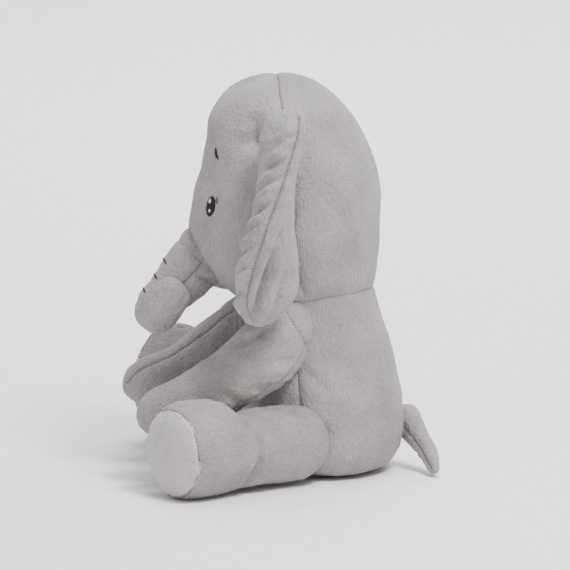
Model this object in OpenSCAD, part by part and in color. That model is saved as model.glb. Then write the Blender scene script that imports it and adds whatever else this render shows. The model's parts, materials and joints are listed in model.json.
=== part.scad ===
// Seated plush elephant, as its cloth panels, its stuffings and its embroidery.
// It faces -Y, its left side is +X, and it sits on the plane z = 0.
// Every stuffed unit is a stack of rings: the outer rings less the inner rings make the cloth panels,
// and the inner rings make the stuffing. Each limb ends in a ball that turns in a socket of its neighbour.

/* [Cloth] */
// Thickness of the plush cloth with its pile
cloth_t = 3; // [2:0.5:4]
// Height of the embroidery above the cloth
thread_t = 1.2; // [0.8:0.1:2]
// Gap between a ball and its socket
socket_gap = 0.4; // [0.3:0.1:1]

/* [Torso] */
// Width of the torso over its widest ring
torso_w = 176; // [150:1:200]
// Depth of the torso over its widest ring
torso_d = 160; // [140:1:180]
// Height of the torso up to the neck seam
torso_h = 190; // [175:1:215]
// Width of the flat seat
seat_w = 124; // [100:1:140]
// Depth of the flat seat
seat_d = 114; // [90:1:130]
// Width of the pellet bag in the seat
pellet_bag_w = 110; // [80:1:120]
// Height of the pellet bag
pellet_bag_h = 24; // [16:1:40]

/* [Head] */
// Width of the head
head_w = 192; // [170:1:210]
// Depth of the head, from face to back
head_d = 188; // [170:1:206]
// Height of the head above its joint
head_h = 167; // [150:1:190]
// Radius of the ball under the head
neck_ball_r = 85; // [78:1:88]
// How far the head sits forward of the seat's centre
neck_forward = 20; // [10:1:26]

/* [Trunk] */
// Length from the trunk's joint to its tip
trunk_len = 90; // [78:1:105]
// Radius of the ball at the trunk's root
trunk_ball_r = 32; // [28:1:34]
// Radius of the trunk near its end
trunk_end_r = 21; // [17:1:24]
// Length of the tip that is folded back up
fold_len = 58; // [46:1:62]
// Width of the folded tip
fold_w = 38; // [28:1:42]
// Thickness of the folded tip
fold_t = 26; // [20:1:30]

/* [Ears] */
// Height of an ear
ear_h = 212; // [180:1:220]
// Width of an ear from its hem to its rim
ear_w = 92; // [75:1:105]
// Thickness of an ear in its middle
ear_t = 17; // [13:1:20]
// Length of the hem that is sewn into the head
hem_len = 96; // [70:1:105]
// Radius of the hem
hem_r = 5; // [4:0.5:6]
// How much further forward the right ear stands than the left one, in degrees
right_ear_flare = 20; // [0:1:22]
// How much lower the right ear hangs than the left one
right_ear_drop = 10; // [0:1:14]

/* [Arms] */
// Length from the shoulder joint to the fingertip
arm_len = 172; // [150:1:185]
// Radius of the ball at the shoulder
arm_ball_r = 31; // [28:1:33]
// Height of an arm across its middle
arm_t = 64; // [54:1:68]
// Radius of the hand
hand_r = 26; // [22:1:28]

/* [Legs] */
// Length from the hip joint to the sole
leg_len = 147; // [130:1:165]
// Radius of the ball at the hip
leg_ball_r = 40; // [36:1:42]
// Radius of the sole
sole_r = 45; // [40:1:50]
// Angle of each leg away from straight ahead
leg_splay = 31; // [28:1:34]
// How much further out the right leg lies, in degrees
right_leg_splay = 5; // [0:1:8]
// How much higher the right foot rests, in degrees
right_leg_lift = 10; // [0:1:11]

/* [Tail] */
// Length of the tail
tail_len = 74; // [60:1:84]
// Width of the tail at its root
tail_w = 32; // [26:1:34]
// Width of the tail at its tip
tail_tip_w = 19; // [14:1:24]

/* [Face] */
// Width of an eye
eye_w = 16; // [11:1:18]
// Height of an eye
eye_h = 22; // [18:1:26]
// Angle of each eye away from the nose
eye_turn = 32; // [24:1:40]
// Length of a brow
brow_len = 13; // [9:1:18]
// Thickness of a brow
brow_w = 4.5; // [3:0.5:6]
// Length of a stitch mark across the trunk
mark_len = 20; // [14:1:26]

/* [Hidden] */
$fn = 48;
plush = [0.69, 0.67, 0.67];
plush_light = [0.77, 0.75, 0.76];
filling = [0.95, 0.94, 0.9];
dark_thread = [0.18, 0.15, 0.15];
pale_thread = [0.93, 0.92, 0.94];

// Joint centres and limb directions
neck_joint = [0, -neck_forward, torso_h + 45];
trunk_joint = [0, neck_joint.y - head_d / 2 - 15, neck_joint.z - 19];
trunk_pitch = 142;
shoulder_joint = [torso_w / 2 - 5, 35 - torso_d / 2, torso_h - 42];
arm_pitch = [121, 117];
arm_yaw = [-5, -6];
hip_joint = [torso_w / 2 - 10, 42 - torso_d / 2, leg_ball_r + 3];
tail_joint = [0, torso_d / 2 + 5, 46];
tail_turn = [-118, 0, -47];
eye_rise = 41;
brow_turn = 27;
brow_rise = 95;
brow_lean = 35;
ear_root = [head_w / 2 - 8, neck_joint.y - 34, neck_joint.z + 41];
ear_tilt = [-13, -6];
ear_flare = -6;

// Angles of the seams around each unit; 0 is +X and -90 is the front
torso_seam = 22;
arm_seam = -75;
limb_exit = 60;
groove_angle = 56;
groove_depth = 5;

// ---- Ring geometry -------------------------------------------------------------------------------
// A ring is [centre x, centre y, centre z, half width, half depth]. A ring of no width is a pole.

function mix(a, b, t) = a + (b - a) * t;
function ease(t) = let(s = min(max(t, 0), 1)) s * s * (3 - 2 * s);
function steps(from, to, count) = [for (i = [0:count]) mix(from, to, i / count)];
function joined(first, second) = concat(
    [for (i = [0:len(first) - 2]) first[i]],
    [for (i = [0:len(second) - 2]) second[i]]
);

// A smooth curve through rows of numbers, one unit of t to each row
function curve(rows, t) = let(
    i = min(floor(t), len(rows) - 2),
    f = t - i,
    a = rows[max(i - 1, 0)],
    b = rows[i],
    c = rows[i + 1],
    d = rows[min(i + 2, len(rows) - 1)]
) b + 0.5 * f * ((c - a) + f * ((2 * a - 5 * b + 4 * c - d) + f * (3 * (b - c) + d - a)));
function through(rows, count) = [for (t = steps(0, len(rows) - 1, count)) curve(rows, t)];

function is_pole(ring) = ring[3] <= 0;
function on_ring(ring, angle) = [ring.x + ring[3] * cos(angle), ring.y + ring[4] * sin(angle), ring.z];
function layer(rings, angles) = [
    for (ring = rings) for (angle = is_pole(ring) ? [0] : angles) on_ring(ring, angle)
];
// Index of the point on ring i at angle j, with n points to a ring
function at(rings, n, i, j) =
    (i == 0 ? 0 : (is_pole(rings[0]) ? 1 : n) + (i - 1) * n) + (is_pole(rings[i]) ? 0 : j % n);
function quad(a, b, c, d) = [[a, b, c], [a, c, d]];
function sides(rings, n, cells) = [
    for (i = [0:len(rings) - 2]) for (j = [0:cells - 1])
        let(
            a = at(rings, n, i, j),
            b = at(rings, n, i, j + 1),
            c = at(rings, n, i + 1, j + 1),
            d = at(rings, n, i + 1, j)
        )
        each [if (a != b) [a, c, b], if (c != d) [a, d, c]]
];
function turned(faces, shift) = [for (f = faces) [f[0] + shift, f[2] + shift, f[1] + shift]];

// A closed solid inside the rings
module stuffed(rings, angles) {
    n = len(angles);
    last = len(rings) - 1;
    foot = is_pole(rings[0]) ? [] : [[for (j = [0:n - 1]) at(rings, n, 0, j)]];
    top = is_pole(rings[last]) ? [] : [[for (j = [n - 1:-1:0]) at(rings, n, last, j)]];
    polyhedron(layer(rings, angles), concat(sides(rings, n, n), foot, top));
}

// Cloth between the outer and the inner rings, from the first angle to the last one
module cloth(outer, inner, angles) {
    n = len(angles);
    cells = n - 1;
    last = len(outer) - 1;
    points = layer(outer, angles);
    shift = len(points);
    skin = sides(outer, n, cells);
    seams = [
        for (i = [0:last - 1]) each concat(
            quad(at(outer, n, i + 1, 0), at(outer, n, i, 0),
                at(outer, n, i, 0) + shift, at(outer, n, i + 1, 0) + shift),
            quad(at(outer, n, i, cells), at(outer, n, i + 1, cells),
                at(outer, n, i + 1, cells) + shift, at(outer, n, i, cells) + shift)
        )
    ];
    foot = is_pole(outer[0]) ? [] : [
        for (j = [0:cells - 1]) each quad(at(outer, n, 0, j), at(outer, n, 0, j + 1),
            at(outer, n, 0, j + 1) + shift, at(outer, n, 0, j) + shift)
    ];
    top = is_pole(outer[last]) ? [] : [
        for (j = [0:cells - 1]) each quad(at(outer, n, last, j + 1), at(outer, n, last, j),
            at(outer, n, last, j) + shift, at(outer, n, last, j + 1) + shift)
    ];
    polyhedron(concat(points, layer(inner, angles)), concat(skin, turned(skin, shift), seams, foot, top));
}

// Rings of a limb along +Z: the ball round the origin, then the tube's rows, which leave the ball at
// limb_exit. A row is [distance, half width, half height, shift x, shift y].
function ball_rings(r, inset) = [
    for (angle = steps(180, limb_exit, 7)) let(across = angle == 180 ? 0 : (r - inset) * sin(angle))
        [0, 0, (r - inset) * cos(angle), across, across]
];
function exit_row(r) = [r * cos(limb_exit), r * sin(limb_exit), r * sin(limb_exit), 0, 0];
function tube_rings(r, rows, count, inset) = [
    for (i = [1:count]) let(row = curve(concat([exit_row(r)], rows), len(rows) * i / count))
        [row[3], row[4], row[0], row[1] - inset, row[2] - inset]
];
// A round end that closes a tube whose last ring is given
function end_rings(ring, reach, inset) = [
    for (angle = [30, 55, 75, 90]) [
        ring.x, ring.y, ring.z + (reach - inset) * sin(angle),
        angle == 90 ? 0 : ring[3] * cos(angle), ring[4] * cos(angle)
    ]
];

// ---- Torso -----------------------------------------------------------------------------------------

function torso_rows(inset) = [
    for (row = [[0, 0, seat_w / torso_w, seat_d / torso_d], [0.06, 0, 0.9, 0.9], [0.2, 0, 1, 1],
            [0.45, -1, 0.95, 0.98], [0.7, -6, 0.82, 0.9], [0.86, -9, 0.76, 0.8], [1.06, -12, 0.73, 0.77]])
        [0, row[1], row[0] * torso_h, row[2] * torso_w / 2 - inset, row[3] * torso_d / 2 - inset]
];
function torso_rings(inset) = through(torso_rows(inset), 14);
belly_angles = steps(180 + torso_seam, 360 - torso_seam, 16);
back_angles = steps(-torso_seam, 180 + torso_seam, 26);

// Mirrors what belongs to the right side, where side is -1
module on_side(side) {
    mirror([side < 0 ? 1 : 0, 0, 0]) children();
}

// Sockets that the other units turn in
module torso_sockets() {
    translate(neck_joint) sphere(neck_ball_r + socket_gap);
    for (side = [1, -1]) {
        on_side(side) translate(shoulder_joint) sphere(arm_ball_r + socket_gap);
        on_side(side) translate(hip_joint) sphere(leg_ball_r + socket_gap);
    }
    translate(tail_joint) sphere(tail_w / 2 + socket_gap);
}

module seat_shape(inset, h) {
    scale([1, (seat_d - 2 * inset) / (seat_w - 2 * inset), 1]) cylinder(d = seat_w - 2 * inset, h = h);
}

module pellet_shape() {
    translate([0, 0, cloth_t + pellet_bag_h / 2])
        scale([1, (seat_d - 14) / (seat_w - 14), pellet_bag_h / pellet_bag_w]) sphere(d = pellet_bag_w);
}

module torso_panel(angles) {
    color(plush) difference() {
        cloth(torso_rings(0), torso_rings(cloth_t), angles);
        torso_sockets();
    }
}

module belly_panel() {
    torso_panel(belly_angles);
}

module back_panel() {
    torso_panel(back_angles);
}

module seat_panel() {
    color(plush) seat_shape(cloth_t + 1, cloth_t);
}

module torso_stuffing() {
    color(filling) difference() {
        stuffed(torso_rings(cloth_t), joined(back_angles, belly_angles));
        translate([0, 0, -1]) seat_shape(cloth_t + 1, cloth_t + 1);
        pellet_shape();
        torso_sockets();
    }
}

module pellet_bag() {
    color(filling) pellet_shape();
}

// ---- Head ------------------------------------------------------------------------------------------

ball_edge = 52;
rim_r = neck_ball_r * sin(ball_edge);
rim_z = neck_joint.z - neck_ball_r * cos(ball_edge);
head_mid_z = neck_joint.z + 27;
low_angle = -acos(rim_r / (head_w / 2));
low_reach = (head_mid_z - rim_z) / sin(-low_angle);
high_reach = neck_joint.z + head_h - head_mid_z;
face_angles = steps(180, 360, 18);
nape_angles = steps(0, 180, 18);

function head_centre_y(angle) = neck_joint.y - 16 * ease((angle - low_angle) / 40) - 6 * ease(angle / 90);
function head_rings(inset) = concat(
    [for (angle = steps(0, ball_edge, 5)) [
        0, neck_joint.y, neck_joint.z - (neck_ball_r - inset) * cos(angle),
        (neck_ball_r - inset) * sin(angle), (neck_ball_r - inset) * sin(angle)
    ]],
    [for (i = [1:11]) let(angle = mix(low_angle, 90, i / 11), reach = angle < 0 ? low_reach : high_reach) [
        0, head_centre_y(angle), head_mid_z + (reach - inset) * sin(angle),
        i == 11 ? 0 : (head_w / 2 - inset) * cos(angle),
        (mix(rim_r / cos(low_angle), head_d / 2, ease((angle - low_angle) / 40)) - inset) * cos(angle)
    ]]
);

// The ear's hem lies in this groove, which opens wide enough for the ear's travel
module hem_groove(side) {
    wide = tan(groove_angle);
    place_ear(side) {
        translate([0, 0, -hem_len / 2 - socket_gap])
            cylinder(r = hem_r + socket_gap, h = hem_len + 2 * socket_gap);
        translate([0, 0, -ear_h / 2]) linear_extrude(ear_h)
            polygon([[-groove_depth, 0], [ear_w / 2, -ear_w / 2 * wide], [ear_w / 2, ear_w / 2 * wide]]);
    }
}

module head_sockets() {
    translate(trunk_joint) sphere(trunk_ball_r + socket_gap);
    hem_groove(1);
    hem_groove(-1);
}

module face_panel() {
    color(plush) difference() {
        cloth(head_rings(0), head_rings(cloth_t), face_angles);
        head_sockets();
    }
}

module head_back_panel() {
    color(plush) difference() {
        cloth(head_rings(0), head_rings(cloth_t), nape_angles);
        head_sockets();
    }
}

module head_stuffing() {
    color(filling) difference() {
        stuffed(head_rings(cloth_t), joined(face_angles, nape_angles));
        head_sockets();
    }
}

// ---- Face ------------------------------------------------------------------------------------------

// Puts a child that faces +Z on the head's surface, at an angle from the nose and a height above the joint
module on_face(turn, up) {
    z = neck_joint.z + up;
    angle = asin((z - head_mid_z) / high_reach);
    x = head_w / 2 * cos(angle) * sin(turn);
    y = head_centre_y(angle) - head_d / 2 * cos(angle) * cos(turn);
    translate([x, y, z]) rotate([90 - angle, 0, turn]) children();
}

module embroidered(w, h, t) {
    scale([w / h, 1, 2 * t / h]) sphere(d = h);
}

module eye_shape(side) {
    on_face(side * eye_turn, eye_rise) embroidered(eye_w, eye_h, thread_t + 0.6);
}

module eye(side) {
    color(dark_thread) difference() {
        eye_shape(side);
        stuffed(head_rings(0), joined(face_angles, nape_angles));
    }
}

module eye_glints(side) {
    color(pale_thread) difference() {
        on_face(side * eye_turn, eye_rise) translate([0, 0, thread_t]) {
            translate([-side * eye_w * 0.1, eye_h * 0.23, 0])
                embroidered(eye_w * 0.3, eye_h * 0.3, thread_t);
            translate([side * eye_w * 0.04, -eye_h * 0.2, 0])
                embroidered(eye_w * 0.2, eye_h * 0.2, thread_t);
        }
        eye_shape(side);
    }
}

module brow(side) {
    color(dark_thread) difference() {
        on_face(side * brow_turn, brow_rise) rotate(side * brow_lean)
            embroidered(brow_w, brow_len, thread_t + 0.4);
        stuffed(head_rings(0), joined(face_angles, nape_angles));
    }
}

// ---- Trunk -----------------------------------------------------------------------------------------

trunk_rows = [[trunk_len * 0.37, trunk_end_r + 6, trunk_end_r + 5, 0, 1],
    [trunk_len * 0.6, trunk_end_r + 2, trunk_end_r + 1, 0, 1],
    [trunk_len - trunk_end_r, trunk_end_r, trunk_end_r - 1, 0, 0]];
trunk_angles = steps(0, 180, 11);
trunk_low_angles = steps(180, 360, 11);

function trunk_rings(inset) = let(tube = tube_rings(trunk_ball_r, trunk_rows, 6, inset))
    concat(ball_rings(trunk_ball_r, inset), tube, end_rings(tube[len(tube) - 1], trunk_end_r, inset));

// The folded tip lies along the trunk's left side, its round end towards the chin
function fold_rings(inset) = [
    for (angle = steps(-90, 90, 10)) [
        0, 0, (fold_len / 2 - inset) * sin(angle),
        abs(angle) == 90 ? 0 : (fold_t / 2 - inset) * pow(cos(angle), 0.6),
        (fold_w / 2 - inset) * pow(cos(angle), 0.6)
    ]
];
fold_angles = steps(0, 180, 10);
fold_low_angles = steps(180, 360, 10);

module place_trunk() {
    translate(trunk_joint) rotate([trunk_pitch, 0, 0]) children();
}

module place_fold() {
    place_trunk() translate([trunk_end_r + fold_t / 2 - 7, 0, trunk_len - fold_len / 2 - 5]) children();
}

module trunk_body() {
    place_trunk() stuffed(trunk_rings(0), joined(trunk_angles, trunk_low_angles));
}

module trunk_top_panel() {
    color(plush) place_trunk() cloth(trunk_rings(0), trunk_rings(cloth_t), trunk_angles);
}

module trunk_under_panel() {
    color(plush) place_trunk() cloth(trunk_rings(0), trunk_rings(cloth_t), trunk_low_angles);
}

module trunk_stuffing() {
    color(filling) place_trunk() stuffed(trunk_rings(cloth_t), joined(trunk_angles, trunk_low_angles));
}

module trunk_fold_panel(angles) {
    color(plush) difference() {
        place_fold() cloth(fold_rings(0), fold_rings(cloth_t), angles);
        trunk_body();
    }
}

module trunk_fold_stuffing() {
    color(filling) difference() {
        place_fold() stuffed(fold_rings(cloth_t), joined(fold_angles, fold_low_angles));
        trunk_body();
    }
}

module trunk_marks() {
    color(dark_thread) difference() {
        place_trunk() for (mark = [[0.27, 8], [0.48, 4.5], [0.7, 1]])
            translate([0, trunk_end_r + mark[1], trunk_len * mark[0]])
                scale([mark_len / 3, 0.8, 1]) sphere(d = 3);
        trunk_body();
    }
}

// ---- Ears ------------------------------------------------------------------------------------------
// An ear stands along +Z with its hem on the Z axis, and reaches out along +X.

ear_front_angles = steps(180, 360, 10);
ear_back_angles = steps(0, 180, 10);

function ear_rings(inset) = [
    for (angle = steps(-90, 90, 12)) [
        ear_w / 2 - 1, 6 * sin(angle) * sin(angle) - 3, (ear_h / 2 - inset) * sin(angle),
        abs(angle) == 90 ? 0 : (ear_w / 2 - inset) * cos(angle), (ear_t / 2 - inset) * pow(cos(angle), 0.5)
    ]
];

module place_ear(side) {
    flare = side > 0 ? ear_flare : ear_flare - right_ear_flare;
    drop = side > 0 ? 0 : right_ear_drop;
    on_side(side) translate(ear_root - [0, 0, drop]) rotate([ear_tilt[0], ear_tilt[1], flare]) children();
}

module hem_shape() {
    translate([0, 0, -hem_len / 2]) cylinder(r = hem_r, h = hem_len);
}

module ear_panel(side, angles) {
    color(plush) place_ear(side) difference() {
        cloth(ear_rings(0), ear_rings(cloth_t), angles);
        hem_shape();
    }
}

module ear_batting(side) {
    color(filling) place_ear(side) difference() {
        stuffed(ear_rings(cloth_t), joined(ear_front_angles, ear_back_angles));
        hem_shape();
    }
}

module ear_hem(side) {
    color(plush) place_ear(side) hem_shape();
}

// ---- Arms ------------------------------------------------------------------------------------------

arm_rows = [[arm_len * 0.22, arm_t * 0.42, arm_t * 0.53, 0, 0],
    [arm_len * 0.41, arm_t * 0.43, arm_t * 0.5, 0, -1], [arm_len * 0.64, hand_r + 1, hand_r + 2, -2, -2], [arm_len - hand_r, hand_r, hand_r, -4, -3]];
arm_outer_angles = steps(arm_seam, arm_seam + 180, 11);
arm_inner_angles = steps(arm_seam + 180, arm_seam + 360, 11);

function arm_rings(inset) = let(tube = tube_rings(arm_ball_r, arm_rows, 7, inset))
    concat(ball_rings(arm_ball_r, inset), tube, end_rings(tube[len(tube) - 1], hand_r, inset));

module place_arm(side) {
    i = side > 0 ? 0 : 1;
    on_side(side) translate(shoulder_joint) rotate([arm_pitch[i], 0, arm_yaw[i]]) children();
}

module arm_panel(side, angles) {
    color(plush) place_arm(side) cloth(arm_rings(0), arm_rings(cloth_t), angles);
}

module arm_stuffing(side) {
    color(filling) place_arm(side) stuffed(arm_rings(cloth_t), joined(arm_outer_angles, arm_inner_angles));
}

// ---- Legs ------------------------------------------------------------------------------------------

leg_rows = [[leg_len * 0.34, leg_ball_r - 2, leg_ball_r - 1.5, 0, -1],
    [leg_len * 0.57, leg_ball_r - 1, leg_ball_r - 1, 0, -1],
    [leg_len * 0.76, sole_r - 2, sole_r - 2.5, 0, 1.5],
    [leg_len - 10, sole_r + 1, sole_r, 0, 3], [leg_len, sole_r, sole_r - 0.5, 0, 3]];
leg_outer_angles = steps(-90, 90, 12);
leg_inner_angles = steps(90, 270, 12);

function leg_rings(inset) = concat(
    ball_rings(leg_ball_r, inset),
    tube_rings(leg_ball_r, leg_rows, 9, inset)
);
function sole_rings(inset) = let(rings = leg_rings(0), edge = rings[len(rings) - 1]) concat(
    [for (angle = [0, 30, 60]) [
        edge.x, edge.y, edge.z + (7 - inset) * sin(angle), edge[3] * cos(angle), edge[4] * cos(angle)
    ]],
    [[edge.x, edge.y, edge.z + 7 - inset, 0, 0]]
);

module place_leg(side) {
    lift = side < 0 ? right_leg_lift : 0;
    splay = leg_splay + (side < 0 ? right_leg_splay : 0);
    on_side(side) translate(hip_joint) rotate([90 - lift, 0, splay]) children();
}

module leg_panel(side, angles) {
    color(plush) place_leg(side) cloth(leg_rings(0), leg_rings(cloth_t), angles);
}

module leg_stuffing(side) {
    color(filling) place_leg(side) stuffed(leg_rings(cloth_t), joined(leg_outer_angles, leg_inner_angles));
}

module leg_sole(side) {
    color(plush_light) place_leg(side)
        stuffed(sole_rings(0), joined(leg_outer_angles, leg_inner_angles));
}

// ---- Tail ------------------------------------------------------------------------------------------

tail_end_r = 8;
tail_rows = [[tail_len * 0.3, tail_end_r + 1, tail_w * 0.44, 5, 1.5],
    [tail_len * 0.6, tail_end_r, mix(tail_w, tail_tip_w, 0.7) / 2, 9, 4],
    [tail_len - tail_end_r, tail_end_r - 0.5, tail_tip_w / 2, 19, 5]];
tail_angles = steps(0, 180, 8);
tail_low_angles = steps(180, 360, 8);

function tail_rings(inset) = let(tube = tube_rings(tail_w / 2, tail_rows, 6, inset))
    concat(ball_rings(tail_w / 2, inset), tube, end_rings(tube[len(tube) - 1], tail_end_r, inset));

module place_tail() {
    translate(tail_joint) rotate(tail_turn) children();
}

module tail_panel(angles) {
    color(plush) place_tail() cloth(tail_rings(0), tail_rings(cloth_t), angles);
}

module tail_stuffing() {
    color(filling) place_tail() stuffed(tail_rings(cloth_t), joined(tail_angles, tail_low_angles));
}

// ---- Nodes -----------------------------------------------------------------------------------------

belly_panel();
back_panel();
seat_panel();
torso_stuffing();
pellet_bag();
face_panel();
head_back_panel();
head_stuffing();
eye(1);  // eye_l
eye(-1);  // eye_r
eye_glints(1);  // eye_glints_l
eye_glints(-1);  // eye_glints_r
brow(1);  // brow_l
brow(-1);  // brow_r
trunk_top_panel();
trunk_under_panel();
trunk_stuffing();
trunk_fold_panel(fold_angles);  // trunk_fold_top_panel
trunk_fold_panel(fold_low_angles);  // trunk_fold_under_panel
trunk_fold_stuffing();
trunk_marks();
ear_panel(1, ear_front_angles);  // ear_l_front_panel
ear_panel(1, ear_back_angles);  // ear_l_back_panel
ear_batting(1);  // ear_l_batting
ear_hem(1);  // ear_l_hem
ear_panel(-1, ear_front_angles);  // ear_r_front_panel
ear_panel(-1, ear_back_angles);  // ear_r_back_panel
ear_batting(-1);  // ear_r_batting
ear_hem(-1);  // ear_r_hem
arm_panel(1, arm_outer_angles);  // arm_l_outer_panel
arm_panel(1, arm_inner_angles);  // arm_l_inner_panel
arm_stuffing(1);  // arm_l_stuffing
arm_panel(-1, arm_outer_angles);  // arm_r_outer_panel
arm_panel(-1, arm_inner_angles);  // arm_r_inner_panel
arm_stuffing(-1);  // arm_r_stuffing
leg_panel(1, leg_outer_angles);  // leg_l_outer_panel
leg_panel(1, leg_inner_angles);  // leg_l_inner_panel
leg_sole(1);  // leg_l_sole
leg_stuffing(1);  // leg_l_stuffing
leg_panel(-1, leg_outer_angles);  // leg_r_outer_panel
leg_panel(-1, leg_inner_angles);  // leg_r_inner_panel
leg_sole(-1);  // leg_r_sole
leg_stuffing(-1);  // leg_r_stuffing
tail_panel(tail_angles);  // tail_top_panel
tail_panel(tail_low_angles);  // tail_under_panel
tail_stuffing();
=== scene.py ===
"""A seated plush elephant: the sewn and stuffed skins, seams, stitches and embroidery over its CAD frame.

Everything is in metres. The toy faces -Y, its left side is +X and it sits on z = 0.
"""

import itertools
import json
import logging
import math
from collections.abc import Callable
from dataclasses import dataclass, field, replace
from enum import Enum
from functools import cache

import bpy
import numpy as np
from mathutils import Euler, Matrix, Vector
from mathutils.bvhtree import BVHTree


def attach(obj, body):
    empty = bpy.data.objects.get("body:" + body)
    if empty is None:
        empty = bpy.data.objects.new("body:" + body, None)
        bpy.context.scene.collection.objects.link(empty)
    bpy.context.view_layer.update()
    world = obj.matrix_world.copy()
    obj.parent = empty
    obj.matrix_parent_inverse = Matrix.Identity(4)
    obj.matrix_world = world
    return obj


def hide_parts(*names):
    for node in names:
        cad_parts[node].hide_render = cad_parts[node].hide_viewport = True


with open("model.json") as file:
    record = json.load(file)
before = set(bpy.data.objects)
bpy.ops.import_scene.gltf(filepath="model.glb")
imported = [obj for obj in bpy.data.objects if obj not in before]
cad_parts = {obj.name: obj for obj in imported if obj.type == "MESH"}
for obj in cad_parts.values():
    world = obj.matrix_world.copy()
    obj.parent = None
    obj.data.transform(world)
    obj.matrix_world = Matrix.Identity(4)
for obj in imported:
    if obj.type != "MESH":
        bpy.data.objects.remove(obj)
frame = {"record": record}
LOG = logging.getLogger("elephant")
MM = 0.001
TINY = 1e-12

# The noise: large odd numbers that scatter its cells' corners, and the step from one pattern to the next
CELL_MIX = (73856093, 19349663, 83492791)
FIRST_MIX, SECOND_MIX, SEED_MIX = 1274126177, 2246822519, 7919
WORD = 0xFFFFFFFF
PATTERN_STEP = 19.7

# The thread: a stitch's half length and half widths, the distance between stitches and how far they stand out
STITCH = (1.15 * MM, 0.50 * MM, 0.50 * MM)
STITCH_PITCH = 3.4 * MM
STITCH_RISE = 0.12 * MM

Piece = bpy.types.Object
Socket = bpy.types.NodeSocket
Path = tuple[np.ndarray, np.ndarray]
Pair = tuple[float, float]
Triple = tuple[float, float, float]


class Side(Enum):
    """A side of the toy, with the sign of its X."""

    LEFT = 1
    RIGHT = -1

    @property
    def letter(self) -> str:
        """The letter that ends the names of this side's pieces."""
        return "l" if self is Side.LEFT else "r"


# ---- Small geometry helpers --------------------------------------------------------------------------


def joint_place(name: str) -> Vector:
    """The point that a CAD joint turns about.

    Args:
        name: The joint's name in the record.

    Returns:
        The joint's position in metres.
    """
    joints = frame["record"]["behaviour"]["joints"]
    return Vector(next(j["pos_m"] for j in joints if j["name"] == name))


def mirrored(place: Matrix, side: Side) -> Matrix:
    """A placement as it is on one side of the toy.

    Args:
        place: The placement on the left side.
        side: The side that is wanted.

    Returns:
        The placement, mirrored in X for the right side.
    """
    return Matrix.Diagonal((side.value, 1, 1, 1)) @ place


def turned(pitch: float, yaw: float) -> Matrix:
    """The way a limb points: its own Z, pitched about X and then turned about the upright.

    Args:
        pitch: The pitch in degrees.
        yaw: The turn in degrees.

    Returns:
        The turn, without a place.
    """
    return Euler((math.radians(pitch), 0, math.radians(yaw))).to_matrix().to_4x4()


def moved(points: np.ndarray, place: Matrix) -> np.ndarray:
    """Points taken through a placement.

    Args:
        points: An array whose last axis is x, y, z.
        place: The placement.

    Returns:
        The moved points, in the same shape.
    """
    m = np.array(place)
    return points @ m[:3, :3].T + m[:3, 3]


def soft_noise(points: np.ndarray, size: float, seed: int) -> np.ndarray:
    """Smooth random values in space, the same ones each time.

    Args:
        points: An array whose last axis is x, y, z.
        size: The distance between neighbouring random values.
        seed: Picks one pattern.

    Returns:
        One value from -1 to 1 for each point.
    """
    scaled = points / size + PATTERN_STEP * seed
    cell = np.floor(scaled).astype(np.int64)
    inside = scaled - cell
    inside = inside * inside * (3 - 2 * inside)
    total = np.zeros(points.shape[:-1])
    for corner in itertools.product((0, 1), repeat=3):
        at = cell + corner
        value = at[..., 0] * CELL_MIX[0] ^ at[..., 1] * CELL_MIX[1] ^ at[..., 2] * CELL_MIX[2]
        value = ((value ^ (value >> 13)) * FIRST_MIX + seed * SEED_MIX) & WORD
        value = ((value ^ (value >> 15)) * SECOND_MIX) & WORD
        weight = np.prod(np.where(corner, inside, 1 - inside), axis=-1)
        total += weight * (value / (WORD // 2) - 1)
    return total


def smooth_rows(rows: np.ndarray, at: np.ndarray) -> np.ndarray:
    """A smooth curve through rows of numbers, without overshoot.

    Args:
        rows: One row for each station, with the station's place in the first column.
        at: The places to read, within the first and the last station.

    Returns:
        The other columns at those places.
    """
    x, y = rows[:, 0], rows[:, 1:]
    step = np.diff(x)[:, None]
    rise = np.diff(y, axis=0) / step
    slope = np.zeros_like(y)
    before, after = rise[:-1], rise[1:]
    slope[1:-1] = np.where(after * before > 0, 2 * after * before / (after + before + TINY), 0)
    slope[0], slope[-1] = rise[0], rise[-1]
    i = np.clip(np.searchsorted(x, at, side="right") - 1, 0, len(x) - 2)
    t = ((at - x[i]) / step[i, 0])[:, None]
    h = step[i]
    return (
        y[i] * (2 * t**3 - 3 * t**2 + 1)
        + slope[i] * h * (t**3 - 2 * t**2 + t)
        + y[i + 1] * (3 * t**2 - 2 * t**3)
        + slope[i + 1] * h * (t**3 - t**2)
    )


def link_mesh(name: str, points: np.ndarray, faces: list[tuple[int, ...]]) -> Piece:
    """A new smooth-shaded object in the scene.

    Args:
        name: The object's name.
        points: Its vertices in metres.
        faces: Its faces, as rows of vertex numbers.

    Returns:
        The new object, at the origin.
    """
    mesh = bpy.data.meshes.new(name)
    mesh.from_pydata([tuple(p) for p in points.tolist()], [], faces)
    mesh.polygons.foreach_set("use_smooth", [True] * len(mesh.polygons))
    mesh.update()
    obj = bpy.data.objects.new(name, mesh)
    bpy.context.scene.collection.objects.link(obj)
    return obj


# ---- Finishes ----------------------------------------------------------------------------------------


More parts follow.
